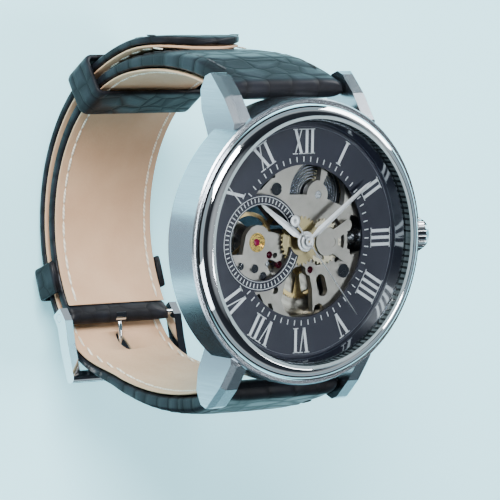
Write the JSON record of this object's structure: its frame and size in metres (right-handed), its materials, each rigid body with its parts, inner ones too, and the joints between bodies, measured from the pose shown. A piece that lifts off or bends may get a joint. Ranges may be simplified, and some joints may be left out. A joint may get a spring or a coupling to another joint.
{
  "type": "skeleton-dial wristwatch",
  "caption": "Round hand-wound wristwatch with an open dial over its geared movement, a fluted crown and a buckled two-part leather strap.",
  "frame": {"origin": "centre of the case back's outer face", "axes": "+Z out of the dial, +Y toward 12 o'clock, +X toward the crown at 3 o'clock"},
  "size_m": [0.0452, 0.0562, 0.0591],
  "materials": {
    "case_steel": "fine axial brushing on the band, polished lugs",
    "back_steel": "circular brushing",
    "polished_steel": "mirror polish",
    "rehaut_steel": "mirror polish",
    "buckle_steel": "mirror polish",
    "plain_steel": "fine",
    "screw_steel": "black polish, slotted",
    "wheel_steel": "circular sunray",
    "crystal": "polished",
    "gasket": "satin grey nylon",
    "seal": "matt black",
    "ring_plastic": "matt black",
    "dial_lacquer": "navy-black lacquer with silver prints",
    "plate_nickel": "grained grey nickel plate",
    "bridge_nickel": "striped nickel plate",
    "brass_wheel": "gilt, circular grain",
    "barrel_brass": "circular grain",
    "cannon_steel": "fine",
    "spring_steel": "bright blue-grey",
    "gilt": "polished gilt",
    "ruby": "polished synthetic ruby",
    "hand_silver": "satin silver",
    "strap_leather": "glossy black, square scales",
    "strap_lining": "smooth tan"
  },
  "bodies": {
    "case": {"case_middle": "case_steel", "bezel": "polished_steel", "crystal": "crystal", "crystal_gasket": "gasket", "rehaut": "rehaut_steel", "case_back": "back_steel", "back_crystal": "crystal", "back_gasket": "seal", "movement_ring": "ring_plastic", "case_screws": "screw_steel", "crown_tube": "plain_steel", "dial": "dial_lacquer", "mainplate": "plate_nickel", "minute_bridge": "plate_nickel", "barrel_bridge": "bridge_nickel", "train_bridge": "bridge_nickel", "balance_cock": "bridge_nickel", "pallet_bridge": "bridge_nickel", "bridge_screws": "screw_steel", "dial_side_screws": "screw_steel", "shock_setting": "gilt", "cap_jewel": "ruby", "jewels": "ruby", "click_spring": "plain_steel", "spring_bar_12": "plain_steel", "spring_bar_6": "plain_steel"},
    "setting": {"sliding_clutch": "plain_steel", "winding_pinion": "plain_steel"},
    "crown": {"crown": "polished_steel", "winding_stem": "plain_steel", "crown_gasket": "seal"},
    "crown_wheel": {"crown_wheel": "wheel_steel"},
    "ratchet": {"ratchet_wheel": "wheel_steel", "barrel_arbor": "plain_steel"},
    "click": {"click": "plain_steel"},
    "barrel": {"barrel": "barrel_brass", "barrel_cover": "barrel_brass", "mainspring": "spring_steel"},
    "minutes": {"centre_wheel": "brass_wheel", "cannon_pinion": "cannon_steel", "minute_hand": "hand_silver"},
    "third": {"third_wheel": "brass_wheel"},
    "seconds": {"fourth_wheel": "brass_wheel", "seconds_hand": "hand_silver"},
    "escape": {"escape_wheel": "plain_steel"},
    "pallets": {"pallet_fork": "plain_steel"},
    "balance": {"balance_wheel": "brass_wheel", "hairspring": "spring_steel"},
    "minute_works": {"minute_wheel": "brass_wheel"},
    "hours": {"hour_wheel": "brass_wheel", "hour_hand": "hand_silver"},
    "strap_12": {"strap_12_leather": "strap_leather", "strap_12_lining": "strap_lining", "fixed_keeper": "strap_leather", "buckle_bar": "buckle_steel"},
    "strap_6": {"strap_6_leather": "strap_leather", "strap_6_lining": "strap_lining"},
    "loose_keeper": {"floating_keeper": "strap_leather"},
    "buckle": {"buckle_frame": "buckle_steel"},
    "tongue": {"buckle_tongue": "buckle_steel"}
  },
  "joints": [
    {"name": "seconds_turn", "type": "hinge", "parent": "case", "child": "seconds", "pos_m": [0, 0, 0.003], "axis": [0, 0, -1], "continuous": true},
    {"name": "third_turn", "type": "hinge", "parent": "case", "child": "third", "pos_m": [0.00235, -0.00441, 0.0033], "axis": [0, 0, -1], "continuous": true},
    {"name": "minutes_turn", "type": "hinge", "parent": "case", "child": "minutes", "pos_m": [0, 0, 0.0036], "axis": [0, 0, -1], "continuous": true},
    {"name": "barrel_turn", "type": "hinge", "parent": "case", "child": "barrel", "pos_m": [0.00365, 0.0066, 0.004], "axis": [0, 0, -1], "continuous": true},
    {"name": "escape_turn", "type": "hinge", "parent": "case", "child": "escape", "pos_m": [-0.00339, -0.00339, 0.0031], "axis": [0, 0, -1], "continuous": true},
    {"name": "minute_wheel_turn", "type": "hinge", "parent": "case", "child": "minute_works", "pos_m": [0.00439, -0.00031, 0.0065], "axis": [0, 0, -1], "continuous": true},
    {"name": "hours_turn", "type": "hinge", "parent": "case", "child": "hours", "pos_m": [0, 0, 0.0068], "axis": [0, 0, -1], "continuous": true},
    {"name": "crown_turn", "type": "hinge", "parent": "case", "child": "setting", "pos_m": [0.012, 0, 0.005], "axis": [1, 0, 0], "continuous": true},
    {"name": "crown_pull", "type": "slide", "parent": "setting", "child": "crown", "axis": [1, 0, 0], "range_m": [0, 0.0009]},
    {"name": "crown_wheel_turn", "type": "hinge", "parent": "case", "child": "crown_wheel", "pos_m": [0.00909, 0, 0.0018], "axis": [0, 0, 1], "continuous": true},
    {"name": "ratchet_turn", "type": "hinge", "parent": "case", "child": "ratchet", "pos_m": [0.00365, 0.0066, 0.0018], "axis": [0, 0, 1], "continuous": true},
    {"name": "click_lift", "type": "hinge", "parent": "case", "child": "click", "pos_m": [-0.00215, 0.00995, 0.0018], "axis": [0, 0, 1], "range_deg": [0, 6]},
    {"name": "pallet_rock", "type": "hinge", "parent": "case", "child": "pallets", "pos_m": [-0.00521, -0.0019, 0.0049], "axis": [0, 0, 1], "range_deg": [-4, 4]},
    {"name": "balance_swing", "type": "hinge", "parent": "case", "child": "balance", "pos_m": [-0.0075, 0, 0.004], "axis": [0, 0, 1], "range_deg": [-140, 140]},
    {"name": "strap_12_pivot", "type": "hinge", "parent": "case", "child": "strap_12", "pos_m": [0, 0.0223, 0.0016], "axis": [1, 0, 0], "range_deg": [-0.3, 0.3]},
    {"name": "strap_6_pivot", "type": "hinge", "parent": "case", "child": "strap_6", "pos_m": [0, -0.0223, 0.0016], "axis": [1, 0, 0], "range_deg": [-0.3, 0.3]},
    {"name": "keeper_shift", "type": "hinge", "parent": "strap_12", "child": "loose_keeper", "pos_m": [0, 0, -0.02], "axis": [1, 0, 0], "range_deg": [-6, 8]},
    {"name": "buckle_pivot", "type": "hinge", "parent": "strap_12", "child": "buckle", "pos_m": [0, -0.01521, -0.03946], "axis": [1, 0, 0], "range_deg": [-1.2, 0]},
    {"name": "tongue_pivot", "type": "hinge", "parent": "strap_12", "child": "tongue", "pos_m": [0, -0.01521, -0.03946], "axis": [1, 0, 0], "range_deg": [0, 8]}
  ],
  "couplings": [
    {"joint": "third_turn", "follows": "seconds_turn", "ratio": -0.125},
    {"joint": "minutes_turn", "follows": "seconds_turn", "ratio": 0.016667},
    {"joint": "barrel_turn", "follows": "seconds_turn", "ratio": -0.0027778},
    {"joint": "escape_turn", "follows": "seconds_turn", "ratio": -10},
    {"joint": "minute_wheel_turn", "follows": "seconds_turn", "ratio": -0.0055556},
    {"joint": "hours_turn", "follows": "seconds_turn", "ratio": 0.0013889},
    {"joint": "crown_wheel_turn", "follows": "crown_turn", "ratio": 0.5},
    {"joint": "ratchet_turn", "follows": "crown_turn", "ratio": -0.36364}
  ]
}
